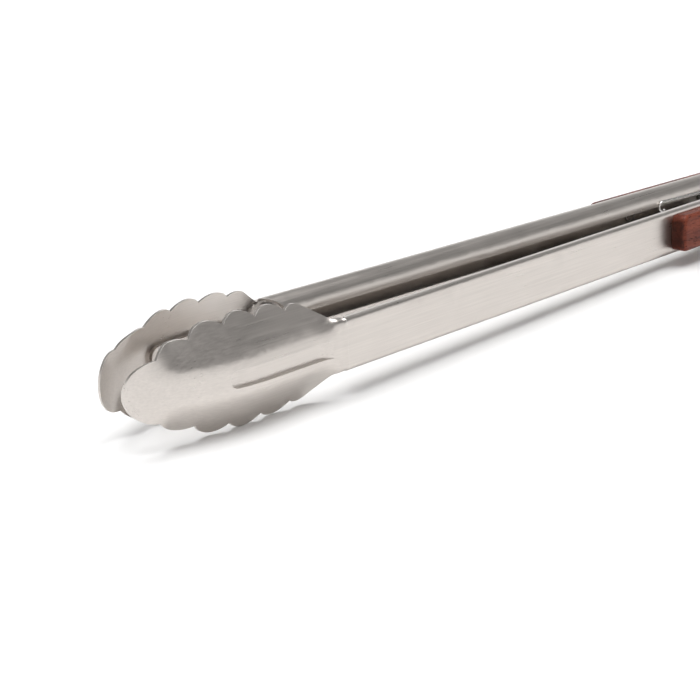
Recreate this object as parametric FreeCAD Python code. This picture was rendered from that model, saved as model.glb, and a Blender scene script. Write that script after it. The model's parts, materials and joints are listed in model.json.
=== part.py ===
"""Spring loaded barbecue tongs: two stamped steel arms with wooden grips on one pivot pin.

The pivot axis is the Z line through (0, 0) while the parts are made. X runs back along the
tongs, so the jaws are at negative X, and the near arm is on the negative Y side. Each arm is
first made parallel to X and then turned by the splay angle. The far arm and all that rides on
it are the near ones turned half a turn about X. At the end everything is moved so that the
origin is under the middle of the tongs, at the height of the lowest scallop. Lengths are mm.
"""
import FreeCAD, Part
import math
import os
from FreeCAD import Vector

# ---- overall sizes -----------------------------------------------------------------------
REACH = 492.0               # pivot axis to the tip of a jaw
ARM_HEIGHT = 22.0           # outer height of an arm's channel
WEB_OFFSET = 18.9           # pivot axis to the outer face of an arm's web
SPLAY = 1.12                # degrees that each arm leans outward from the middle plane

# ---- sheet metal channel -----------------------------------------------------------------
SHEET = 1.0                 # thickness of the sheet
CORNER_R = 2.2              # outer bend between web and flange
SLOT = 5.4                  # opening between the two curled lips

# ---- jaw ---------------------------------------------------------------------------------
MOUTH_LENGTH = 9.0          # slant of the channel's open front end
JAW_TIP = 12.3              # first notch to the tip
NOTCH_PITCH = 15.1          # length of one scallop
NOTCH_HALF = (12.0, 16.8, 19.4, 19.3, 18.3)     # half width of the jaw at each notch
SCALLOP_RISE = (2.6, 3.6, 3.5, 3.2)             # how far each scallop stands above its chord
LAST_RISE = 1.5             # the same for the short scallop before the neck
LAST_LENGTH = 9.0           # length of that scallop
NECK_RUN = 10.5             # from the end of the last scallop to the neck
ROLL_HALF = 5.0             # the sides turn into flanges from this far before the neck to as
                            # far behind it
FACET_ANGLE = 33.0          # slope of the jaw's sides across the jaw, in degrees
TIP_FACET_ANGLE = 8.0       # the same at the tip, where the bowl flattens
FACET_LEAD = 6.0            # the slope starts to grow this far behind the tip
FACET_TAIL = 8.0            # and is full this far behind the first notch
VALLEY_HALF = 2.0           # half width of the flat middle of the jaw
VALLEY_BEND = 7.0           # width over which the middle turns into the side
JAW_SET_IN = 1.4            # how far the jaw's middle lies inside the web plane
NECK_CUT_RUN = 6.0          # the sides are cut down to the web's bend from this far before the
NECK_CUT_RISE = 8.0         # neck, where the cut starts this far inside the bend
BOWL_START = 45.0           # from the first notch, where the bowl starts to curve inward
BOWL_R = 83.0               # radius of that curve

# ---- stiffening groove pressed into the back of the jaw ---------------------------------
RIB_WIDTH = 7.0
RIB_START = 25.0            # from the first notch to the rounded front end
RIB_FADE = 9.0              # length over which it runs out before the neck
RIB_DEPTH = 1.9
RIB_CLIMB = 0.3             # height over the web's face that its floor's line reaches

# ---- rear end of an arm ------------------------------------------------------------------
OPEN_START = 74.0           # ahead of the pivot, where the curled lips start to unroll
OPEN_END = 62.0             # where they are flat flanges
EAR_START = 52.0            # where the flat flanges of the rear end start
EAR_LEAD = 2.0              # the lower flange has stepped in, clear of the other arm, before it
TAPER_START = 44.0          # where the web starts to lean toward the pivot
TAPER_END = 12.0
TAPER_IN = 7.0              # how far it leans in
WEB_END = 8.0               # the web stops this far ahead of the axis
EAR_R = 9.0                 # round end of the flanges about the pin
OPEN_ANGLE = 8.0            # how far each arm swings out before the stop
STOP_GAP = 0.3              # degrees left at the stop
LUG_SPAN = 26.0             # degrees of ear that a stop lug takes up
LUG_OVER = 0.6              # how far a lug reaches past the other arm's web
EAR_GAP = 0.3               # between the ears of the two arms

# ---- grips and their rivets --------------------------------------------------------------
GRIP_LENGTH = 116.0
GRIP_HEIGHT = 18.2
GRIP_THICK = 7.5
GRIP_REAR = 46.0            # rear end, ahead of the pivot
GRIP_CORNER_R = 4.5         # corners of the side outline
GRIP_EDGE_R = 2.2           # rounding round the outer face
RIVET_INSET = 25.0          # from each end of a grip
RIVET_R = 2.0
RIVET_HEAD_R = 3.4
RIVET_HEAD_RISE = 0.9
RIVET_WASHER_R = 4.2
RIVET_WASHER_THICK = 0.8
RIVET_TAIL_RISE = 1.0

# ---- pivot -------------------------------------------------------------------------------
PIN_R = 3.0
PIN_HEAD_R = 6.5
PIN_HEAD_RISE = 1.7
PIN_WASHER_R = 7.5
PIN_WASHER_THICK = 0.7
FIT = 0.05                  # clearance of a running or seated fit
SIDE_PLAY = 0.1             # clearance between faces that slide on each other

# ---- spring ------------------------------------------------------------------------------
WIRE_R = 0.75
COIL_TURNS = 4
COIL_PITCH = 1.6
COIL_PLAY = 0.9             # between the sleeve and the inside of the coil
SLEEVE_WALL = 1.0
END_TURN_GAP = 0.15         # between the coil and the turn that ends in a leg
END_TURN = 120.0            # degrees of that turn
EYE_TURN = 214.0            # degrees that an eye is closed
LEG_BOW = 2.2               # how far a leg bows toward the middle plane, clear of the lips
EYE_AHEAD = 122.0           # pivot to the middle of the eye at a leg's end
EYE_R = 2.4                 # mean radius of the eye
EYE_LIFT = 2.6              # middle of the eye above or below the middle plane

# ---- lock --------------------------------------------------------------------------------
LOCK_TRAVEL = 8.0
STRAP_THICK = 1.2
STRAP_HALF = 5.5            # half width of the strap
STRAP_REAR = 30.0           # pivot to the rear of the bend, pushed in
HANG_HOLE_R = 2.6
HANG_HOLE_WALL = 2.0        # from the hole's edge to the end of the straight plates
CATCH_AHEAD = 42.0          # pivot to a catch pin
CATCH_SIDE = 9.0            # middle plane to a catch pin, with the tongs shut
CATCH_R = 1.5
CATCH_HEAD_R = 2.6
CATCH_HEAD_RISE = 0.8
HOOK_PLAY = 0.5             # between a hook and its catch pin
HOOK_WIDTH = 1.8
CROSSBAR = 5.0              # length of the bar that joins the hooks

# ---- worked out from the sizes above -----------------------------------------------------
HALF = ARM_HEIGHT / 2
CURL_R = (ARM_HEIGHT - SLOT) / 2
ARM_DEPTH = CORNER_R + CURL_R
FLAT_HALF = HALF - CORNER_R
CORNER_LENGTH = CORNER_R * math.pi / 2
BLANK_HALF = FLAT_HALF + CORNER_LENGTH + CURL_R * math.pi / 2
FIRST_NOTCH = JAW_TIP - REACH
SCALLOPS_END = FIRST_NOTCH + 4 * NOTCH_PITCH + LAST_LENGTH
NECK = SCALLOPS_END + NECK_RUN
ROLL_END = NECK + ROLL_HALF
JAW_HALF = max(
    (NOTCH_HALF[i] + NOTCH_HALF[i + 1]) / 2 + SCALLOP_RISE[i] for i in range(4))
EAR_STEP = SHEET + EAR_GAP              # one ear of each arm lies inside the other arm's ear
INNER_EAR = HALF - EAR_STEP - SHEET     # lowest face of the inner ears
LOCK_WASHER_THICK = 0.9
STRAP_OUT = INNER_EAR - LOCK_WASHER_THICK - 2 * SIDE_PLAY   # outer face of a strap plate
STRAP_IN = STRAP_OUT - STRAP_THICK
SLEEVE_R = PIN_R + FIT + SLEEVE_WALL
COIL_R = SLEEVE_R + COIL_PLAY + WIRE_R
EYE_Y = -(WEB_OFFSET - ARM_DEPTH) + WIRE_R + FIT            # the eye bears on the curled lips
GRIP_FRONT = GRIP_REAR + GRIP_LENGTH
RIVET_X = (-(GRIP_FRONT - RIVET_INSET), -(GRIP_REAR + RIVET_INSET))
STRAP_END = STRAP_REAR - STRAP_OUT                          # end of the straight plates
HANG_HOLE_X = STRAP_END - HANG_HOLE_WALL - HANG_HOLE_R
FRAME_SHIFT = Vector((REACH - STRAP_REAR) / 2, 0, JAW_HALF)

# ---- how finely the bent sheet is shaped -------------------------------------------------
JAW_ROWS = 30
CHANNEL_ROWS = 16
UNROLL_ROWS = 12
SEW_GAP = 0.001
TUCK = 0.2                  # length of the channel's sheet inside the jaw's and the ears'
TUCK_IN = 0.04              # the channel's faces lie this far inside the jaw's and the ears'

LEAN = math.radians(SPLAY)
CATCH_X = -CATCH_AHEAD * math.cos(LEAN) - CATCH_SIDE * math.sin(LEAN)   # before the splay
CATCH_Y = CATCH_AHEAD * math.sin(LEAN) - CATCH_SIDE * math.cos(LEAN)

X_AXIS = Vector(1, 0, 0)
Y_AXIS = Vector(0, 1, 0)
Z_AXIS = Vector(0, 0, 1)
ORIGIN = Vector(0, 0, 0)


# ---- small helpers -----------------------------------------------------------------------
def smooth(value, start, end):
    """0 before start, 1 after end, and a smooth step between them."""
    t = min(max((value - start) / (end - start), 0.0), 1.0)
    return t * t * (3 - 2 * t)


def prism(points, direction):
    """A closed outline of straight edges, pushed along a direction."""
    wire = Part.makePolygon(points + points[:1])
    return Part.Face(wire).extrude(direction)


def disc(radius, bottom, top, x=0.0, y=0.0):
    """A round bar along Z."""
    return Part.makeCylinder(radius, top - bottom, Vector(x, y, bottom), Z_AXIS)


def ring(outer, inner, bottom, top):
    """A tube or washer round the pivot axis."""
    return disc(outer, bottom, top).cut(disc(inner, bottom, top))


def domed_head(radius, rise, base, direction):
    """A rivet head: a shallow cap on the plane through base."""
    ball_r = (radius ** 2 + rise ** 2) / (2 * rise)
    ball = Part.makeSphere(ball_r, base + direction * (rise - ball_r))
    stub = Part.makeCylinder(radius, rise, base, direction)
    return ball.common(stub)


def wire_along(edges, radius):
    """Round wire swept along a smooth chain of edges."""
    path = Part.Wire(edges)
    start = edges[0].Vertexes[0].Point
    heading = edges[0].tangentAt(edges[0].FirstParameter)
    section = Part.Wire(Part.makeCircle(radius, start, heading))
    return path.makePipeShell([section], True, True)


# ---- arm ---------------------------------------------------------------------------------
def web_inset(x):
    """How far the middle of the sheet lies inside the web plane at x."""
    from_notch = x - FIRST_NOTCH
    bowl = max(BOWL_START - from_notch, 0.0) ** 2 / (2 * BOWL_R)
    saddle = JAW_SET_IN * (1 - smooth(x, SCALLOPS_END, NECK + 4))
    taper = TAPER_IN * smooth(x, -TAPER_START, -TAPER_END)
    return bowl + saddle + taper


def bend_angle(x, s, flat, curled):
    """Direction of the sheet across the arm, s along the sheet from its middle.

    flat is the web's half width at x: the sheet is level up to there.
    """
    channel = min(max((s - flat) / CORNER_LENGTH, 0.0), 1.0) * math.pi / 2
    if curled:
        in_curl = max(s - flat - CORNER_LENGTH, 0.0) / CURL_R
        channel += in_curl * (1 - smooth(x, -OPEN_START, -OPEN_END))
    facet = TIP_FACET_ANGLE + (FACET_ANGLE - TIP_FACET_ANGLE) * smooth(
        x, -REACH + FACET_LEAD, FIRST_NOTCH + FACET_TAIL)
    jaw = math.radians(facet) * min(max((s - VALLEY_HALF) / VALLEY_BEND, 0.0), 1.0)
    rolled = smooth(x, NECK - ROLL_HALF, ROLL_END)
    return jaw * (1 - rolled) + channel * rolled


def half_row(x, flat, blank_half, curled, depth):
    """Distances inward and sideways of points on one half of the sheet at x."""
    count = 22
    fine = 8
    step = blank_half / (count * fine)
    points = []
    inward = 0.0
    sideways = 0.0
    for i in range(count * fine + 1):
        angle = bend_angle(x, i * step, flat, curled)
        if i % fine == 0:
            points.append((inward + depth * math.cos(angle), sideways - depth * math.sin(angle)))
        middle = bend_angle(x, (i + 0.5) * step, flat, curled)
        inward += math.sin(middle) * step
        sideways += math.cos(middle) * step
    return points


def sheet_row(x, blank_half, curled, depth):
    """Points across the sheet at x, on its outer face or a given depth under it."""
    step_in = EAR_STEP * smooth(x, -OPEN_END, -EAR_START - EAR_LEAD)
    base = -WEB_OFFSET + web_inset(x)
    top = half_row(x, FLAT_HALF, blank_half, curled, depth)
    bottom = half_row(x, FLAT_HALF - step_in, blank_half - step_in, curled, depth)
    upper = [Vector(x, base + inward, sideways) for inward, sideways in top]
    lower = [Vector(x, base + inward, -sideways) for inward, sideways in bottom[1:]]
    return lower[::-1] + upper


def rib_floor(x):
    """Depth of the groove's outer face, which climbs out of the sheet before the neck."""
    return RIB_DEPTH - (RIB_DEPTH + RIB_CLIMB) * smooth(x, NECK - RIB_FADE, NECK)


def spaced(start, end, count):
    """Evenly spaced places from start, one short of end."""
    return [start + (end - start) * i / count for i in range(count)]


def bent_sheet(places, blank_half, curled, depths):
    """A stretch of an arm's sheet between two depths under its outer face."""
    faces = []
    for depth in depths:
        points = []
        for x in places:
            slope = web_inset(x + 0.5) - web_inset(x - 0.5)
            along = math.sqrt(1 + slope ** 2)
            points.append(sheet_row(x, blank_half, curled, depth(x) * along))
        surface = Part.BSplineSurface()
        surface.interpolate(points)
        faces.append(surface.toShape())
    outer, inner = faces
    rims = [Part.makeLoft([Part.Wire(a), Part.Wire(b)], False, True)
            for a, b in zip(outer.Edges, inner.Edges)]
    shell = Part.makeShell([outer, inner] + [rim.Faces[0] for rim in rims])
    shell.sewShape(SEW_GAP)
    solid = Part.makeSolid(shell)
    if solid.Volume < 0:
        solid.reverse()
    return solid


def jaw_outline():
    """Side outline of the scalloped jaw as far as the neck."""
    notches = [Vector(FIRST_NOTCH + i * NOTCH_PITCH, 0, half)
               for i, half in enumerate(NOTCH_HALF)]
    last_end = Vector(SCALLOPS_END, 0, NOTCH_HALF[-1])
    neck = Vector(NECK, 0, HALF + TUCK)
    behind = Vector(ROLL_END + 1, 0, neck.z)

    def side(sign):
        """The upper or lower half, from the first notch to the neck."""
        edges = []
        corners = notches + [last_end]
        for start, end, rise in zip(corners, corners[1:], SCALLOP_RISE + (LAST_RISE,)):
            along = (end - start).normalize()
            top = (start + end) * 0.5 + Vector(-along.z, 0, along.x) * rise
            points = [Vector(p.x, 0, p.z * sign) for p in (start, top, end)]
            edges.append(Part.Arc(*points).toShape())
        points = [Vector(p.x, 0, p.z * sign) for p in (last_end, neck, behind)]
        return edges + [Part.makeLine(a, b) for a, b in zip(points, points[1:])]

    first = notches[0]
    tip = Part.Arc(first, Vector(-REACH, 0, 0), Vector(first.x, 0, -first.z)).toShape()
    back = Part.makeLine(behind, Vector(behind.x, 0, -behind.z))
    return Part.Face(Part.Wire(Part.__sortEdges__([tip, back] + side(1) + side(-1))))


def rib_plan(width):
    """The groove's outline seen from the side, as a bar through the jaw along Y."""
    start = FIRST_NOTCH + RIB_START + RIB_WIDTH / 2
    length = NECK - SHEET - start
    depth = WEB_OFFSET + 10
    bar = Part.makeBox(length, depth, width, Vector(start, -depth, -width / 2))
    nose = Part.makeCylinder(width / 2, depth, Vector(start, -depth, 0), Y_AXIS)
    return bar.fuse(nose)


def upright(points):
    """A bar along Z, taller than the jaw, on a closed outline in plan."""
    low = -JAW_HALF - 10
    return prism([Vector(x, y, low) for x, y in points], Z_AXIS * (-2 * low))


def make_jaw():
    """The scalloped bowl, with a groove pressed into its back."""
    places = spaced(-REACH - 1, ROLL_END, JAW_ROWS) + [ROLL_END]

    def stretch(depths):
        return bent_sheet(places, BLANK_HALF + 3, False, depths)

    deep = WEB_OFFSET + 30
    side_keep = jaw_outline().extrude(Vector(0, 2 * deep, 0))
    side_keep.translate(Vector(0, -deep, 0))
    corner = -WEB_OFFSET + CORNER_R
    front = NECK - NECK_CUT_RUN
    neck_cut = upright([(ROLL_END + 1, corner), (ROLL_END, corner),
                        (front, corner + NECK_CUT_RISE), (front, deep), (ROLL_END + 1, deep)])
    sheet = stretch((lambda x: 0.0, lambda x: SHEET)).common(side_keep).cut(neck_cut)
    pressed = stretch((lambda x: SHEET / 2, lambda x: max(rib_floor(x), 0.0) + SHEET * 0.9))
    hollow = stretch((lambda x: -SHEET, rib_floor))
    jaw = sheet.fuse(pressed.common(rib_plan(RIB_WIDTH + 2 * SHEET)))
    return jaw.cut(hollow.common(rib_plan(RIB_WIDTH)))


def make_channel():
    """The long channel with curled lips, open at the front in a slanted mouth.

    Its sheet is a hair thinner than the jaw and the ears, and each end is tucked into them.
    """
    start = ROLL_END - TUCK
    unroll = -OPEN_START - 6
    end = -EAR_START + TUCK
    places = spaced(start, unroll, CHANNEL_ROWS) + spaced(unroll, end, UNROLL_ROWS) + [end]
    depths = (lambda x: TUCK_IN, lambda x: SHEET - TUCK_IN)
    channel = bent_sheet(places, BLANK_HALF - TUCK_IN, True, depths)
    corner = -WEB_OFFSET + CORNER_R - TUCK
    lip = corner + CURL_R + 1
    mouth = upright([(ROLL_END - 1, corner), (ROLL_END, corner),
                     (ROLL_END + MOUTH_LENGTH, lip), (ROLL_END - 1, lip)])
    return channel.cut(mouth)


def web_plan(inset, before, z):
    """The web's line in plan from where the ears start to its rear end, as one curve."""
    start = -EAR_START - before
    steps = 9
    places = [start + (-WEB_END - start) * i / steps for i in range(steps + 1)]
    curve = Part.BSplineCurve()
    curve.interpolate([Vector(x, -WEB_OFFSET + web_inset(x) + inset, z) for x in places])
    return curve


def filled_behind(curve, edges, height, bend_r):
    """A block behind the web's line, with the two long bends along the web rounded."""
    outline = Part.Wire([curve.toShape()] + edges)
    block = Part.Face(outline).extrude(Z_AXIS * height)
    bends = [e for e in block.Edges
             if e.Length > abs(curve.EndPoint.x - curve.StartPoint.x) * 0.98
             and e.CenterOfMass.y < curve.EndPoint.y]
    return block.makeFillet(bend_r, bends)


def polar(radius, degrees, z):
    """A point at an angle round the pivot axis."""
    angle = math.radians(degrees)
    return Vector(radius * math.cos(angle), radius * math.sin(angle), z)


def stop_angle():
    """Where a lug's front edge stands, so that it meets the other arm's web at full opening."""
    web_x = -WEB_END
    web_end = math.atan2(WEB_OFFSET - web_inset(web_x), web_x)
    return math.degrees(web_end) - 2 * (SPLAY + OPEN_ANGLE) - STOP_GAP


def make_rear():
    """The end at the pivot: a leaning web between two flat flanges with round, lugged ears."""
    low = -(HALF - EAR_STEP)
    web = web_plan(0, 0, low)
    flange = Vector(-EAR_START, -WEB_OFFSET + CORNER_R + CURL_R * math.pi / 2, low)
    below = polar(EAR_R, -90, low)
    lead = stop_angle()
    trail = lead - LUG_SPAN
    lug_r = math.hypot(WEB_END, WEB_OFFSET - web_inset(-WEB_END)) + LUG_OVER
    lug = [polar(EAR_R, trail, low), polar(lug_r, trail, low), polar(lug_r, lead, low),
           polar(EAR_R, lead, low)]
    edges = [
        Part.makeLine(web.EndPoint, below), Part.Arc(below, polar(EAR_R, 0, low), lug[0]).toShape(),
        Part.makeLine(lug[0], lug[1]),
        Part.Arc(lug[1], polar(lug_r, (lead + trail) / 2, low), lug[2]).toShape(),
        Part.makeLine(lug[2], lug[3]), Part.makeLine(lug[3], flange),
        Part.makeLine(flange, web.StartPoint)]
    outer = filled_behind(web, edges, HALF - low, CORNER_R)
    web = web_plan(SHEET, 3, low + SHEET)
    side = EAR_R + 20
    corners = [web.EndPoint] + [Vector(x, y, low + SHEET) for x, y in (
        (-WEB_END, -side), (side, -side), (side, side), (web.StartPoint.x, side))]
    corners.append(web.StartPoint)
    edges = [Part.makeLine(a, b) for a, b in zip(corners, corners[1:])]
    inner = filled_behind(web, edges, HALF - low - 2 * SHEET, CORNER_R - SHEET)
    return outer.cut(inner)


def ear_holes():
    """Bores through both ears of an arm: for the pivot pin and for the catch pin."""
    low = -HALF - 2
    pin = disc(PIN_R + FIT, low, -low)
    catch = disc(CATCH_R + FIT, low, -low, CATCH_X, CATCH_Y)
    return pin.fuse(catch)


def rivet_holes():
    """Bores through the web for the grip's rivets."""
    bores = [Part.makeCylinder(RIVET_R + FIT, 4 * SHEET, Vector(x, -WEB_OFFSET - SHEET, 0), Y_AXIS)
             for x in RIVET_X]
    return bores[0].fuse(bores[1:])


def make_arm():
    """One stamped arm: scalloped jaw with its rib, channel, and the ears at the pivot."""
    arm = make_channel().fuse(make_rear()).fuse(make_jaw())
    return arm.cut(ear_holes()).cut(rivet_holes())


# ---- grip --------------------------------------------------------------------------------
def make_grip():
    """A wooden scale on the web, with round corners and a rounded outer edge."""
    back = -WEB_OFFSET
    grip = Part.makeBox(GRIP_LENGTH, GRIP_THICK, GRIP_HEIGHT,
                        Vector(-GRIP_FRONT, back - GRIP_THICK, -GRIP_HEIGHT / 2))
    corners = [e for e in grip.Edges if abs(e.tangentAt(e.FirstParameter).y) > 0.9]
    grip = grip.makeFillet(GRIP_CORNER_R, corners)
    rim = [e for e in grip.Edges if abs(e.CenterOfMass.y - (back - GRIP_THICK)) < 0.01]
    grip = grip.makeFillet(GRIP_EDGE_R, rim)
    for x in RIVET_X:
        grip = grip.cut(Part.makeCylinder(RIVET_R + FIT, GRIP_THICK + 2,
                                          Vector(x, back - GRIP_THICK - 1, 0), Y_AXIS))
    return grip


def make_rivets():
    """Domed rivets through grip, web and washer, peened over on the inside."""
    outside = -WEB_OFFSET - GRIP_THICK
    inside = -WEB_OFFSET + SHEET + RIVET_WASHER_THICK
    rivets = []
    for x in RIVET_X:
        shank = Part.makeCylinder(RIVET_R, inside - outside, Vector(x, outside, 0), Y_AXIS)
        head = domed_head(RIVET_HEAD_R, RIVET_HEAD_RISE, Vector(x, outside, 0), -Y_AXIS)
        tail = domed_head(RIVET_HEAD_R, RIVET_TAIL_RISE, Vector(x, inside, 0), Y_AXIS)
        rivets.append(shank.fuse([head, tail]).removeSplitter())
    return Part.Compound(rivets)


def make_rivet_washers():
    """Washers between the web's inside and the rivets' peened ends."""
    washers = []
    for x in RIVET_X:
        base = Vector(x, -WEB_OFFSET + SHEET, 0)
        plate = Part.makeCylinder(RIVET_WASHER_R, RIVET_WASHER_THICK, base, Y_AXIS)
        bore = Part.makeCylinder(RIVET_R + FIT, RIVET_WASHER_THICK, base, Y_AXIS)
        washers.append(plate.cut(bore))
    return Part.Compound(washers)


# ---- catch pin ---------------------------------------------------------------------------
def make_catch_pin():
    """A pin through both flanges of an arm, which the lock's hook takes hold of."""
    top = HALF
    bottom = -(HALF - EAR_STEP)
    x = CATCH_X
    y = CATCH_Y
    shank = disc(CATCH_R, bottom, top, x, y)
    head = domed_head(CATCH_HEAD_R, CATCH_HEAD_RISE, Vector(x, y, top), Z_AXIS)
    foot = domed_head(CATCH_HEAD_R, CATCH_HEAD_RISE, Vector(x, y, bottom), -Z_AXIS)
    return shank.fuse([head, foot]).removeSplitter()


# ---- pivot -------------------------------------------------------------------------------
def make_pivot_pin():
    """The pin that both arms turn on, with a domed head at each end."""
    end = HALF + PIN_WASHER_THICK + 2 * SIDE_PLAY
    shank = disc(PIN_R, -end, end)
    heads = [domed_head(PIN_HEAD_R, PIN_HEAD_RISE, Vector(0, 0, sign * end), Z_AXIS * sign)
             for sign in (1, -1)]
    return shank.fuse(heads).removeSplitter()


def make_pin_washer(sign):
    """Washer between a head of the pivot pin and the outer ear."""
    near = HALF + SIDE_PLAY
    low, high = sorted((sign * near, sign * (near + PIN_WASHER_THICK)))
    return ring(PIN_WASHER_R, PIN_R + FIT, low, high)


def make_lock_washer(sign):
    """Washer between an inner ear and the lock's strap."""
    near = STRAP_OUT + SIDE_PLAY
    low, high = sorted((sign * near, sign * (near + LOCK_WASHER_THICK)))
    return ring(PIN_WASHER_R, PIN_R + FIT, low, high)


def make_sleeve():
    """Tube on the pin that keeps the strap's two plates apart and carries the coil."""
    half = STRAP_IN - SIDE_PLAY
    return ring(SLEEVE_R, PIN_R + FIT, -half, half)


# ---- spring ------------------------------------------------------------------------------
def make_coil():
    """The working turns of the torsion spring."""
    height = COIL_TURNS * COIL_PITCH
    helix = Part.makeLongHelix(COIL_PITCH, height, COIL_R, 0, False)
    helix.translate(Vector(0, 0, -height / 2))
    return wire_along(helix.Edges, WIRE_R)


def turn_off(start, ahead, aside, radius, degrees):
    """An arc that leaves start along ahead and bends toward aside."""
    points = []
    for share in (0, 0.5, 1):
        angle = math.radians(degrees * share)
        points.append(start + aside * (radius * (1 - math.cos(angle)))
                      + ahead * (radius * math.sin(angle)))
    return points


def make_leg():
    """The near leg: an end turn, a bowed run beside the channel, and an eye on the lips."""
    z = -(COIL_TURNS * COIL_PITCH / 2 + 2 * WIRE_R + END_TURN_GAP)
    leave = Vector(0, -COIL_R, z)
    arrive = Vector(-EYE_AHEAD, EYE_Y, -EYE_LIFT - EYE_R)
    run = Part.Arc(leave, (leave + arrive) * 0.5 + Y_AXIS * LEG_BOW, arrive).toShape()
    heading = run.tangentAt(run.FirstParameter)
    turn = turn_off(leave, -heading, heading.cross(Z_AXIS).normalize(), COIL_R, END_TURN)
    heading = run.tangentAt(run.LastParameter)
    upward = heading.cross(Z_AXIS).cross(heading).normalize()
    eye = turn_off(arrive, heading, upward, EYE_R, EYE_TURN)
    return wire_along([Part.Arc(*turn[::-1]).toShape(), run, Part.Arc(*eye).toShape()], WIRE_R)


# ---- lock --------------------------------------------------------------------------------
def make_strap():
    """The lock: a strip bent round at the rear, with a hook on each side at the front."""
    slot_front = -PIN_R - FIT - LOCK_TRAVEL
    hook_in = CATCH_SIDE + CATCH_R + HOOK_PLAY
    hook_out = hook_in + HOOK_WIDTH
    bar_rear = -CATCH_AHEAD - CATCH_R - HOOK_PLAY - LOCK_TRAVEL
    bar_front = bar_rear - CROSSBAR
    hook_rear = bar_rear + 2 * CATCH_R + HOOK_PLAY
    half = [
        Vector(bar_front, 0, 0), Vector(bar_front, hook_out - 3, 0),
        Vector(bar_front + 3, hook_out, 0), Vector(hook_rear, hook_out, 0),
        Vector(hook_rear, hook_in, 0), Vector(bar_rear, hook_in, 0),
        Vector(bar_rear, STRAP_HALF, 0), Vector(STRAP_END, STRAP_HALF, 0)]
    mirrored = [Vector(p.x, -p.y, 0) for p in half[:0:-1]]
    plates = []
    for bottom in (STRAP_IN, -STRAP_OUT):
        lift = Z_AXIS * bottom
        plates.append(prism([p + lift for p in half + mirrored], Z_AXIS * STRAP_THICK))
    bend_outer = Part.makeCylinder(STRAP_OUT, 2 * STRAP_HALF,
                                   Vector(STRAP_END, -STRAP_HALF, 0), Y_AXIS)
    bend_inner = Part.makeCylinder(STRAP_IN, 2 * STRAP_HALF,
                                   Vector(STRAP_END, -STRAP_HALF, 0), Y_AXIS)
    front_half = Part.makeBox(STRAP_OUT, 4 * STRAP_HALF, 4 * STRAP_OUT,
                              Vector(STRAP_END - STRAP_OUT, -2 * STRAP_HALF, -2 * STRAP_OUT))
    bend = bend_outer.cut(bend_inner).cut(front_half)
    strap = plates[0].fuse([plates[1], bend])
    slot_r = PIN_R + FIT
    low, high = -STRAP_OUT - 1, STRAP_OUT + 1
    slot = disc(slot_r, low, high).fuse([
        disc(slot_r, low, high, -LOCK_TRAVEL),
        Part.makeBox(LOCK_TRAVEL, 2 * slot_r, high - low, Vector(-LOCK_TRAVEL, -slot_r, low))])
    hole = disc(HANG_HOLE_R, low, high, HANG_HOLE_X)
    return strap.cut(slot).cut(hole).removeSplitter()


# ---- placing and writing -----------------------------------------------------------------
def near_side(shape):
    """A part of the near arm, turned out by the splay angle."""
    turned = shape.copy()
    turned.rotate(ORIGIN, Z_AXIS, SPLAY)
    return turned


def far_side(shape):
    """The matching part of the far arm: the near one turned half a turn about X."""
    turned = near_side(shape)
    turned.rotate(ORIGIN, X_AXIS, 180)
    return turned


def build_parts():
    """Every node's shape, in the tongs' own frame."""
    parts = {}
    pairs = {
        "arm": make_arm(), "grip": make_grip(), "grip_rivets": make_rivets(),
        "rivet_washers": make_rivet_washers(), "catch_pin": make_catch_pin(),
        "spring_leg": make_leg()}
    for name, shape in pairs.items():
        parts["near_" + name] = near_side(shape)
        parts["far_" + name] = far_side(shape)
    parts["pivot_pin"] = make_pivot_pin()
    parts["spring_sleeve"] = make_sleeve()
    parts["spring_coil"] = make_coil()
    parts["lock_strap"] = make_strap()
    for name, sign in (("top", 1), ("bottom", -1)):
        parts[name + "_pin_washer"] = make_pin_washer(sign)
        parts[name + "_lock_washer"] = make_lock_washer(sign)
    for shape in parts.values():
        shape.translate(FRAME_SHIFT)
    return parts


def main():
    """Build every part and write one file for each."""
    os.makedirs("parts", exist_ok=True)
    parts = build_parts()
    for name, shape in parts.items():
        shape.exportStep("parts/" + name + ".step")
        box = shape.BoundBox
        print(f"{name:20s} solids {len(shape.Solids)} valid {shape.isValid()} "
              f"x {box.XMin:.2f} {box.XMax:.2f} y {box.YMin:.2f} {box.YMax:.2f} "
              f"z {box.ZMin:.2f} {box.ZMax:.2f} volume {shape.Volume:.1f}")


main()
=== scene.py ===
# %% [markdown]
# # Spring loaded kitchen tongs
# Long barbecue tongs: two stamped steel arms with scalloped jaws, hardwood grips held on by
# domed rivets, and a torsion spring and a sliding lock at the pivot. The engineering model
# already has every piece in its true place, so this script dresses it: it rounds and shades
# the metal, models the grips, mixes the finishes, and sets the table and the light.

# %% Load the model
import json
import math
import bpy
import bmesh
from mathutils import Matrix, Vector

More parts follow.
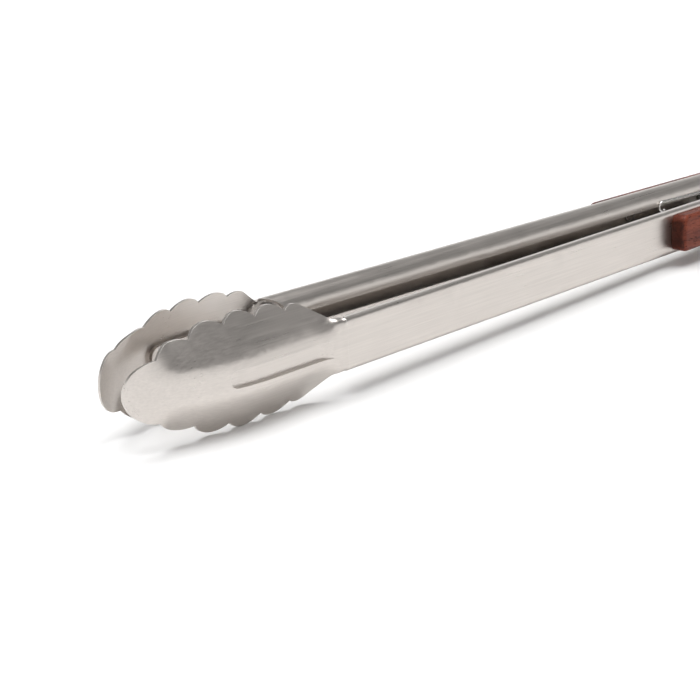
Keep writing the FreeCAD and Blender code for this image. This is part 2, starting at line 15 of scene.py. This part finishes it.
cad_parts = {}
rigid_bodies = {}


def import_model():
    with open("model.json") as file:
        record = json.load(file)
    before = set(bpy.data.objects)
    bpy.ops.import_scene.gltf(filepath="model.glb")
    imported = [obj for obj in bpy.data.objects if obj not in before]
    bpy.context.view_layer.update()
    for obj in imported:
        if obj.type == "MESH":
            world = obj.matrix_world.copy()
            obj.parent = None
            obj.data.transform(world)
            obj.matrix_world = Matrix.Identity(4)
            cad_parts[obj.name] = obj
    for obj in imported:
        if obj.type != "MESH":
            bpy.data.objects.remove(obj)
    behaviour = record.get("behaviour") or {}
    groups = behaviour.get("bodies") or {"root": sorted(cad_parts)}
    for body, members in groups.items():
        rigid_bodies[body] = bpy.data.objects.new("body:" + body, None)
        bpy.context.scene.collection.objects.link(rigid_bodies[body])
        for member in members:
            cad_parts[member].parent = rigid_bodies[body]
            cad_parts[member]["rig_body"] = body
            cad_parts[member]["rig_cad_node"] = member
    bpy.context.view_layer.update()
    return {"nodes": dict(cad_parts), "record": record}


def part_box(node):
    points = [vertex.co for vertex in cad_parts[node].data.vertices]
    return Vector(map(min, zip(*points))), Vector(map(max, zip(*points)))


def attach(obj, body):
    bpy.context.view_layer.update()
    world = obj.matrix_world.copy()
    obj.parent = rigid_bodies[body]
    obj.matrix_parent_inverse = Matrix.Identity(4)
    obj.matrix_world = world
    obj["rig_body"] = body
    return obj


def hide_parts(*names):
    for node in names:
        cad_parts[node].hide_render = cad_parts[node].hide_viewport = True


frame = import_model()
body_of_node = {node: body for body, members in frame["record"]["behaviour"]["bodies"].items()
                for node in members}
pin_low, pin_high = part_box("pivot_pin")
PIVOT = (pin_low + pin_high) / 2
MM = 0.001
print("nodes", len(frame["nodes"]), "pivot", [round(c, 4) for c in PIVOT])

# %% [markdown]
# ## Small helpers
# An operator works on whatever is selected, and the loaded nodes all are, so each step starts
# by clearing the selection. A finished piece is tied to the body that it moves with and given
# the finish that it wears, and the node that it stands for is hidden.

# %% Helpers
MERGE = 0.002 * MM        # points closer than this are joined


def only(piece):
    """Selects one object and nothing else, and makes it active."""
    bpy.ops.object.select_all(action="DESELECT")
    piece.select_set(True)
    bpy.context.view_layer.objects.active = piece


def seat(piece, node, material):
    """Gives a finished piece its finish, ties it to its node's body and hides the node."""
    piece.data.materials.clear()
    piece.data.materials.append(material)
    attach(piece, body_of_node[node])
    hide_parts(node)
    print(piece.name, "polygons", len(piece.data.polygons), "rides on", body_of_node[node])


def smoothed_copy(node, name, material, degrees):
    """A copy of a node with its triangles joined and its curved faces shaded smooth."""
    piece = frame["nodes"][node].copy()
    piece.data = piece.data.copy()
    piece.name = name
    piece.data.name = name
    bpy.context.scene.collection.objects.link(piece)
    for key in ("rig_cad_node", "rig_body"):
        if key in piece:
            del piece[key]
    piece.parent = None
    only(piece)
    bpy.ops.object.mode_set(mode="EDIT")
    bpy.ops.mesh.select_all(action="SELECT")
    bpy.ops.mesh.remove_doubles(threshold=MERGE)
    bpy.ops.object.mode_set(mode="OBJECT")
    if piece.data.has_custom_normals:
        bpy.ops.mesh.customdata_custom_splitnormals_clear()
    bpy.ops.object.shade_smooth_by_angle(angle=math.radians(degrees))
    seat(piece, node, material)
    return piece


# %% [markdown]
# ## Node helpers
# A material is a small graph. These helpers keep the graphs short to write: one makes a node
# and fills its sockets, one makes an empty node group with named sockets.

# %% Node helpers


def add(tree, kind, settings=(), **values):
    """A node of a kind, with properties from settings and socket values or links by name."""
    node = tree.nodes.new("ShaderNode" + kind)
    for key, value in dict(settings).items():
        setattr(node, key, value)
    for key, value in values.items():
        socket = node.inputs[int(key[1:])] if key[0] == "i" and key[1:].isdigit() \
            else node.inputs[key.replace("_", " ")]
        if isinstance(value, bpy.types.NodeSocket):
            tree.links.new(value, socket)
        else:
            socket.default_value = value
    return node


def group(name, inputs, outputs):
    """An empty node group with float or vector sockets, and its two end nodes."""
    tree = bpy.data.node_groups.new(name, "ShaderNodeTree")
    for title, kind in inputs:
        tree.interface.new_socket(title, in_out="INPUT", socket_type="NodeSocket" + kind)
    for title, kind in outputs:
        tree.interface.new_socket(title, in_out="OUTPUT", socket_type="NodeSocket" + kind)
    return tree, tree.nodes.new("NodeGroupInput").outputs, tree.nodes.new("NodeGroupOutput").inputs


def place(tree, shared, **values):
    """A shared group set into a material, with its own values."""
    node = tree.nodes.new("ShaderNodeGroup")
    node.node_tree = shared
    for key, value in values.items():
        socket = node.inputs[key.replace("_", " ")]
        if isinstance(value, bpy.types.NodeSocket):
            tree.links.new(value, socket)
        else:
            socket.default_value = value
    return node.outputs


def finish_named(name):
    """A new material: its tree and its main shader."""
    material = bpy.data.materials.new(name)
    material.use_nodes = True
    return material, material.node_tree, material.node_tree.nodes["Principled BSDF"]


def blend_colour(tree, factor, first, second, mode="MIX"):
    """Mix of two colours; each may be a socket or a plain colour."""
    node = tree.nodes.new("ShaderNodeMix")
    node.data_type = "RGBA"
    node.blend_type = mode
    for socket, value in ((node.inputs[0], factor), (node.inputs[6], first),
                          (node.inputs[7], second)):
        if isinstance(value, bpy.types.NodeSocket):
            tree.links.new(value, socket)
        else:
            socket.default_value = value
    return node.outputs[2]


# %% [markdown]
# ## Shared effects
# Brushing is a noise stretched hard along the piece, so it turns into fine parallel lines.
# Handling leaves soft clouds and a few longer scratches. The edge mask shows where an edge is:
# there the rounded normal and the true normal differ, and that difference is the mask. On steel
# the masked edges are painted bright, partly as wear and partly as a painted highlight; on wood
# they are lighter from rubbing.

# %% Shared node groups
brushing, b_in, b_out = group("brushing", (("Vector", "Vector"), ("Along", "Float"),
                                           ("Across", "Float")), (("Lines", "Float"),))
b_scale = add(brushing, "CombineXYZ", X=b_in["Along"], Y=b_in["Across"], Z=b_in["Across"])
b_stretch = add(brushing, "VectorMath", {"operation": "MULTIPLY"}, i0=b_in["Vector"],
                i1=b_scale.outputs[0])
b_noise = add(brushing, "TexNoise", Vector=b_stretch.outputs[0], Scale=1.0, Detail=1.5,
              Roughness=0.5)
b_range = add(brushing, "MapRange", i0=b_noise.outputs[0], i1=0.3, i2=0.7)
brushing.links.new(b_range.outputs[0], b_out["Lines"])

clouds, c_in, c_out = group("handling_clouds", (("Vector", "Vector"), ("Size", "Float")),
                            (("Clouds", "Float"), ("Scratches", "Float")))
c_noise = add(clouds, "TexNoise", Vector=c_in["Vector"], Scale=c_in["Size"], Detail=3.0,
              Roughness=0.55)
c_range = add(clouds, "MapRange", i0=c_noise.outputs[0], i1=0.35, i2=0.65)
clouds.links.new(c_range.outputs[0], c_out["Clouds"])
c_long = add(clouds, "VectorMath", {"operation": "MULTIPLY"}, i0=c_in["Vector"],
             i1=(20.0, 1500.0, 1500.0))
c_fine = add(clouds, "TexNoise", Vector=c_long.outputs[0], Scale=0.35, Detail=1.0)
c_thin = add(clouds, "MapRange", i0=c_fine.outputs[0], i1=0.58, i2=0.80)
clouds.links.new(c_thin.outputs[0], c_out["Scratches"])

# edge mask: on steel it carries worn edges plus a painted highlight, on wood rubbed edges
wear_and_highlight_edges, w_in, w_out = group("edge_wear_and_highlight", (("Radius", "Float"),), (("Mask", "Float"),))
w_round = add(wear_and_highlight_edges, "Bevel", {"samples": 6}, Radius=w_in["Radius"])
w_true = wear_and_highlight_edges.nodes.new("ShaderNodeNewGeometry")
w_dot = add(wear_and_highlight_edges, "VectorMath", {"operation": "DOT_PRODUCT"}, i0=w_round.outputs[0],
            i1=w_true.outputs["Normal"])
w_range = add(wear_and_highlight_edges, "MapRange", i0=w_dot.outputs["Value"], i1=0.99, i2=0.85)
wear_and_highlight_edges.links.new(w_range.outputs[0], w_out["Mask"])

rings, r_in, r_out = group("turned_rings", (("Vector", "Vector"), ("Fineness", "Float")),
                           (("Rings", "Float"),))
r_flat = add(rings, "VectorMath", {"operation": "MULTIPLY"}, i0=r_in["Vector"],
             i1=(1.0, 1.0, 0.0))
r_far = add(rings, "VectorMath", {"operation": "LENGTH"}, i0=r_flat.outputs[0])
r_wide = add(rings, "Math", {"operation": "MULTIPLY"}, i0=r_far.outputs["Value"],
             i1=r_in["Fineness"])
r_noise = add(rings, "TexNoise", {"noise_dimensions": "1D"}, W=r_wide.outputs[0], Scale=1.0,
              Detail=3.0)
rings.links.new(r_noise.outputs[0], r_out["Rings"])
print("groups", [g.name for g in bpy.data.node_groups])

# %% [markdown]
# ## Metal finishes
# All the metal is stainless steel, but no two pieces are finished the same way. The arms are
# brushed lengthwise, the strap is satin, the pins are turned on a lathe, the wire is drawn. One
# function mixes them all, and each finish gets its own colours, roughness and line sizes.

# %% Metal finishes
# pale edge colour: real edge wear plus a painted highlight along the sheet edges
WORN_AND_HIGHLIT_EDGE = (0.86, 0.85, 0.83, 1.0)
CLOUD_SHARE = 0.10
SCRATCH_SHARE = 0.12
SOFT_EDGE = 0.12 * MM


def steel(name, light, dark, smooth, rough, along, across, depth, clouding, edge_band_width, turned=0.0):
    """Stainless steel with brushed or turned lines, cloudy handling marks, and edges painted
    bright: part wear, part painted highlight.

    smooth and rough are the two ends of its roughness, along and across set how fine the lines
    are, depth is their relief, clouding the fineness of the marks and edge_band_width the width of
    the bright edges, which are worn edges plus a painted highlight.
    """
    material, tree, shader = finish_named(name)
    where = tree.nodes.new("ShaderNodeTexCoord").outputs["Object"]
    centred = add(tree, "Mapping", Vector=where, Location=tuple(-c for c in PIVOT)).outputs[0]
    if turned:
        lines = place(tree, rings, Vector=centred, Fineness=turned)["Rings"]
    else:
        lines = place(tree, brushing, Vector=centred, Along=along, Across=across)["Lines"]
    marks = place(tree, clouds, Vector=centred, Size=clouding)
    edges = place(tree, wear_and_highlight_edges, Radius=edge_band_width)["Mask"]
    tone = blend_colour(tree, lines, (*dark, 1.0), (*light, 1.0))
    cloud_share = add(tree, "Math", {"operation": "MULTIPLY"}, i0=marks["Clouds"], i1=CLOUD_SHARE)
    tone = blend_colour(tree, cloud_share.outputs[0], tone, (*dark, 1.0))
    scratch_share = add(tree, "Math", {"operation": "MULTIPLY"}, i0=marks["Scratches"],
                        i1=SCRATCH_SHARE)
    tone = blend_colour(tree, scratch_share.outputs[0], tone, (*dark, 1.0))
    # edges painted brighter: partly wear, partly a painted highlight
    tone = blend_colour(tree, edges, tone, WORN_AND_HIGHLIT_EDGE)
    tree.links.new(tone, shader.inputs["Base Color"])
    mixed = add(tree, "Math", {"operation": "MULTIPLY_ADD"}, i0=marks["Clouds"], i1=0.4,
                i2=0.0)
    both = add(tree, "Math", {"operation": "MULTIPLY_ADD"}, i0=lines, i1=0.6,
               i2=mixed.outputs[0])
    gloss = add(tree, "MapRange", i0=both.outputs[0], i3=smooth, i4=rough)
    tree.links.new(gloss.outputs[0], shader.inputs["Roughness"])
    soft_edge = add(tree, "Bevel", {"samples": 4}, Radius=SOFT_EDGE)
    relief = add(tree, "Bump", Strength=0.5, Distance=depth, Height=lines,
                 Normal=soft_edge.outputs[0])
    tree.links.new(relief.outputs[0], shader.inputs["Normal"])
    shader.inputs["Metallic"].default_value = 1.0
    print("finish", name)
    return material


WARM_LIGHT = (0.650, 0.606, 0.568)
WARM_DARK = (0.590, 0.550, 0.516)
arm_steel = steel(
    "arm_brushed_steel", WARM_LIGHT, WARM_DARK, smooth=0.27, rough=0.36, along=9.0,
    across=1500.0, depth=0.003 * MM, clouding=70.0, edge_band_width=0.08 * MM)
strap_steel = steel(
    "strap_satin_steel", (0.64, 0.63, 0.61), (0.52, 0.51, 0.49), smooth=0.30, rough=0.42,
    along=30.0, across=1800.0, depth=0.006 * MM, clouding=120.0, edge_band_width=0.25 * MM)
rivet_steel = steel(
    "rivet_polished_steel", (0.72, 0.71, 0.69), (0.62, 0.61, 0.59), smooth=0.14, rough=0.26,
    along=400.0, across=900.0, depth=0.003 * MM, clouding=200.0, edge_band_width=0.2 * MM)
washer_steel = steel(
    "washer_satin_steel", (0.60, 0.59, 0.57), (0.48, 0.47, 0.45), smooth=0.28, rough=0.44,
    along=700.0, across=900.0, depth=0.004 * MM, clouding=250.0, edge_band_width=0.15 * MM)
pin_steel = steel(
    "pin_turned_steel", (0.72, 0.71, 0.70), (0.60, 0.59, 0.58), smooth=0.16, rough=0.28,
    along=1.0, across=1.0, depth=0.006 * MM, clouding=150.0, edge_band_width=0.2 * MM, turned=6000.0)
wire_steel = steel(
    "drawn_spring_wire", (0.74, 0.73, 0.71), (0.58, 0.57, 0.55), smooth=0.16, rough=0.30,
    along=60.0, across=5000.0, depth=0.003 * MM, clouding=300.0, edge_band_width=0.1 * MM)

# %% [markdown]
# ## Hardwood
# The grips are a dark reddish hardwood. The figure is a noise drawn out along the grip and bent
# by a second noise, so that the growth lines wander. Short dark pores lie along the grain, and
# the rubbed edges are lighter. End grain drinks more oil than the sides, so the two ends are
# darker. A thin coat stands for the oil finish.

# %% Hardwood finish
DARK_FIGURE = (0.055, 0.010, 0.006, 1.0)
RED_FIGURE = (0.235, 0.054, 0.028, 1.0)
END_GRAIN = (0.022, 0.006, 0.004, 1.0)
PORE = (0.025, 0.008, 0.006, 1.0)
RUBBED_EDGE = (0.36, 0.15, 0.10, 1.0)
grip_wood, wood, wood_shader = finish_named("oiled_red_hardwood")
wood_where = wood.nodes.new("ShaderNodeTexCoord").outputs["Object"]
wood_centred = add(wood, "Mapping", Vector=wood_where,
                   Location=tuple(-c for c in PIVOT)).outputs[0]
wander = add(wood, "TexNoise", Vector=wood_centred, Scale=45.0, Detail=2.0)
bent = add(wood, "VectorMath", {"operation": "MULTIPLY_ADD"}, i0=wander.outputs["Color"],
           i1=(0.0, 0.004, 0.004), i2=wood_centred)
drawn_out = add(wood, "VectorMath", {"operation": "MULTIPLY"}, i0=bent.outputs[0],
                i1=(28.0, 420.0, 420.0))
figure = add(wood, "TexNoise", Vector=drawn_out.outputs[0], Scale=1.0, Detail=5.0,
             Roughness=0.6)
figure_step = add(wood, "MapRange", i0=figure.outputs[0], i1=0.32, i2=0.68)
pore_stretch = add(wood, "VectorMath", {"operation": "MULTIPLY"}, i0=bent.outputs[0],
                   i1=(260.0, 2200.0, 2200.0))
pores = add(wood, "TexNoise", Vector=pore_stretch.outputs[0], Scale=1.0, Detail=1.0)
pore_mask = add(wood, "MapRange", i0=pores.outputs[0], i1=0.58, i2=0.70)
wood_tone = blend_colour(wood, figure_step.outputs[0], DARK_FIGURE, RED_FIGURE)
facing = add(wood, "SeparateXYZ", Vector=wood.nodes.new("ShaderNodeNewGeometry").outputs["Normal"])
endwise = add(wood, "Math", {"operation": "ABSOLUTE"}, i0=facing.outputs["X"])
end_grain = add(wood, "MapRange", i0=endwise.outputs[0], i1=0.6, i2=0.95, i3=0.0, i4=0.75)
wood_tone = blend_colour(wood, end_grain.outputs[0], wood_tone, END_GRAIN)
wood_tone = blend_colour(wood, pore_mask.outputs[0], wood_tone, PORE)
wood_edges = place(wood, wear_and_highlight_edges, Radius=0.5 * MM)["Mask"]
edge_share = add(wood, "Math", {"operation": "MULTIPLY"}, i0=wood_edges, i1=0.35)
wood_tone = blend_colour(wood, edge_share.outputs[0], wood_tone, RUBBED_EDGE)
wood.links.new(wood_tone, wood_shader.inputs["Base Color"])
wood_gloss = add(wood, "MapRange", i0=pore_mask.outputs[0], i3=0.38, i4=0.7)
wood.links.new(wood_gloss.outputs[0], wood_shader.inputs["Roughness"])
sunk = add(wood, "Math", {"operation": "SUBTRACT"}, i0=figure_step.outputs[0],
           i1=pore_mask.outputs[0])
wood_relief = add(wood, "Bump", Strength=0.6, Distance=0.05 * MM, Height=sunk.outputs[0])
wood.links.new(wood_relief.outputs[0], wood_shader.inputs["Normal"])
wood_shader.inputs["Specular IOR Level"].default_value = 0.12
wood_shader.inputs["Coat Weight"].default_value = 0.05
wood_shader.inputs["Coat Roughness"].default_value = 0.3
print("finish", grip_wood.name)

# %% [markdown]
# ## Arms
# Each arm is one sheet of steel, pressed into a channel with curled lips and opened out into a
# scalloped bowl with a groove along its back. The engineering solid already has that shape, so
# a copy is joined up and shaded smooth, and edges sharper than a set angle stay sharp.

# %% Arms
ARM_SHARP = 28            # degrees
for side in ("near", "far"):
    smoothed_copy(side + "_arm", side + "_arm_sheet", arm_steel, ARM_SHARP)

# %% [markdown]
# ## Grips
# A grip is a flat scale of wood. It starts as a cube of its size; the four upright corners are
# rounded first, then the rim of the outer face, which is what a hand feels. Both grips are
# alike, so the far one is the near one turned half a turn about the long axis.

# %% Grips
GRIP_LENGTH = 116 * MM
GRIP_THICK = 7.5 * MM
GRIP_HEIGHT = 18.2 * MM
GRIP_REAR = 46 * MM
WEB_OFFSET = 18.9 * MM
SPLAY = math.radians(1.12)
CORNER_R = 4.5 * MM
RIM_R = 2.2 * MM
BACK_RIM_R = 0.3 * MM
ON_FACE = 0.01 * MM       # a point this close to a face lies on it
GRIP_SHARP = 35           # degrees


def pick_edges(piece, wanted):
    """In edit mode, selects only the edges whose two ends pass a test."""
    bpy.ops.mesh.select_all(action="DESELECT")
    mesh = bmesh.from_edit_mesh(piece.data)
    for edge in mesh.edges:
        edge.select = wanted(edge.verts[0].co, edge.verts[1].co)
    bmesh.update_edit_mesh(piece.data)
    return sum(e.select for e in mesh.edges)


bpy.ops.object.select_all(action="DESELECT")
bpy.ops.mesh.primitive_cube_add(size=1, location=(0, 0, 0))
near_grip = bpy.context.active_object
near_grip.name = "near_grip_scale"
near_grip.scale = (GRIP_LENGTH, GRIP_THICK, GRIP_HEIGHT)
bpy.ops.object.transform_apply(location=True, rotation=True, scale=True)
bpy.ops.object.mode_set(mode="EDIT")
bpy.ops.mesh.select_mode(type="EDGE")
corners = pick_edges(near_grip, lambda a, b: abs(a.y - b.y) > GRIP_THICK / 2)
bpy.ops.mesh.bevel(offset=CORNER_R, segments=8, affect="EDGES")
rim = pick_edges(near_grip, lambda a, b: max(a.y, b.y) < ON_FACE - GRIP_THICK / 2)
bpy.ops.mesh.bevel(offset=RIM_R, segments=5, affect="EDGES")
back_rim = pick_edges(near_grip, lambda a, b: min(a.y, b.y) > GRIP_THICK / 2 - ON_FACE)
bpy.ops.mesh.bevel(offset=BACK_RIM_R, segments=2, affect="EDGES")
bpy.ops.object.mode_set(mode="OBJECT")
bpy.ops.object.shade_smooth_by_angle(angle=math.radians(GRIP_SHARP))
turn = Matrix.Translation(PIVOT) @ Matrix.Rotation(SPLAY, 4, "Z")
middle = Vector((-GRIP_REAR - GRIP_LENGTH / 2, -WEB_OFFSET - GRIP_THICK / 2, 0))
near_grip.data.transform(turn @ Matrix.Translation(middle))
far_grip = near_grip.copy()
far_grip.data = near_grip.data.copy()
far_grip.name = "far_grip_scale"
bpy.context.scene.collection.objects.link(far_grip)
flip = Matrix.Translation(PIVOT) @ Matrix.Rotation(math.pi, 4, "X")
far_grip.data.transform(flip @ Matrix.Translation(-PIVOT))
print("edges rounded", corners, rim, back_rim)
seat(near_grip, "near_grip", grip_wood)
seat(far_grip, "far_grip", grip_wood)

# %% [markdown]
# ## Small hardware
# Rivets, washers, pins, wire and the lock strap are simple turned or bent pieces. Their shapes
# are right already, so they are copied and smoothed too, each with its own finish.

# %% Small hardware
HARDWARE_SHARP = 30       # degrees
hardware = [
    ("pivot_pin", pin_steel), ("spring_sleeve", washer_steel), ("spring_coil", wire_steel),
    ("lock_strap", strap_steel), ("top_pin_washer", washer_steel),
    ("bottom_pin_washer", washer_steel), ("top_lock_washer", washer_steel),
    ("bottom_lock_washer", washer_steel)]
for side in ("near_", "far_"):
    hardware += [(side + "grip_rivets", rivet_steel), (side + "rivet_washers", washer_steel),
                 (side + "catch_pin", pin_steel), (side + "spring_leg", wire_steel)]
for node, material in hardware:
    smoothed_copy(node, node + "_finished", material, HARDWARE_SHARP)

# %% [markdown]
# ## Table
# The tongs rest on the scallops of their jaws and, at the other end, on the lower head of the
# pivot pin, which stands a little higher. So the table top leans by about one degree against
# the tongs. It is a pale board with a faint gloss.

# %% Table
TABLE_SIZE = 12
TABLE_GAP = 0.0001        # keeps the jaws from sinking into it
jaw_low = min((v.co for v in frame["nodes"]["near_arm"].data.vertices), key=lambda co: co.z)
lean = math.atan2(pin_low.z - jaw_low.z, PIVOT.x - jaw_low.x)
bpy.ops.object.select_all(action="DESELECT")
bpy.ops.mesh.primitive_plane_add(size=TABLE_SIZE, location=(0, 0, 0))
table_top = bpy.context.active_object
table_top.name = "table_top"
table_top.location = (jaw_low.x, 0, jaw_low.z - TABLE_GAP)
table_top.rotation_euler = (0, -lean, 0)
board, board_tree, board_shader = finish_named("pale_table")
board_shader.inputs["Base Color"].default_value = (0.93, 0.93, 0.93, 1.0)
board_shader.inputs["Roughness"].default_value = 0.5
board_shader.inputs["Specular IOR Level"].default_value = 0.3
board_shader.inputs["Coat Weight"].default_value = 0.3
board_shader.inputs["Coat Roughness"].default_value = 0.06
table_top.data.materials.append(board)
print("table leans", round(math.degrees(lean), 2), "degrees")

# %% [markdown]
# ## Light
# Polished steel shows the room, so the room is the light. It is a soft studio tent: bright round
# the horizon, dark higher up, and one wide soft lamp overhead that lights the table.

# %% Light
LAMP = 5.2                # strength of the lamp; the bands are shares of it
LOW_GLOW = 0.2
DIM = 0.042
BANDS = ((0.0, LOW_GLOW), (0.34, LOW_GLOW), (0.46, DIM), (0.86, DIM), (0.93, 1.0), (1.0, 1.0))
world = bpy.data.worlds.new("studio_tent")
bpy.context.scene.world = world
world.use_nodes = True
tent = world.node_tree
tent.nodes.clear()
direction = tent.nodes.new("ShaderNodeTexCoord").outputs["Generated"]
height = add(tent, "SeparateXYZ", Vector=direction).outputs["Z"]
ramp = tent.nodes.new("ShaderNodeValToRGB")
tent.links.new(height, ramp.inputs[0])
while len(ramp.color_ramp.elements) < len(BANDS):
    ramp.color_ramp.elements.new(0.5)
for element, (at, value) in zip(ramp.color_ramp.elements, BANDS):
    element.position = at
    element.color = (value, value, value, 1.0)
glow = add(tent, "Background", Color=ramp.outputs[0], Strength=LAMP)
out = tent.nodes.new("ShaderNodeOutputWorld")
tent.links.new(glow.outputs[0], out.inputs["Surface"])
bpy.context.scene.view_settings.view_transform = "Standard"
print("light bands", len(BANDS))

# %% [markdown]
# ## Camera
# A long lens, low and to the front left of the jaws, looks back along the tongs, so that the
# jaws fill the left of the picture and the grips run out of it on the right.

# %% Camera
CAMERA_AT = (-0.6018, -0.4656, 0.21005)
SENSOR_WIDTH = 36
FOCAL_LENGTH = 84.3
HEADING = math.radians(44.99)
DOWN = math.radians(16.96)
ROLL = math.radians(-2.37)
ahead = Vector((math.cos(HEADING) * math.cos(DOWN), math.sin(HEADING) * math.cos(DOWN),
                -math.sin(DOWN)))
level = Vector((math.sin(HEADING), -math.cos(HEADING), 0))
upright = level.cross(ahead)
across = level * math.cos(ROLL) + upright * math.sin(ROLL)
upward = upright * math.cos(ROLL) - level * math.sin(ROLL)
lens = bpy.data.cameras.new("camera")
lens.sensor_width = SENSOR_WIDTH
lens.lens = FOCAL_LENGTH
lens.clip_start = 0.01
lens.clip_end = 50
camera = bpy.data.objects.new("camera", lens)
bpy.context.scene.collection.objects.link(camera)
turned = Matrix((across, upward, -ahead)).transposed().to_4x4()
camera.matrix_world = Matrix.Translation(CAMERA_AT) @ turned
bpy.context.scene.camera = camera
print("camera at", [round(c, 3) for c in camera.matrix_world.translation])
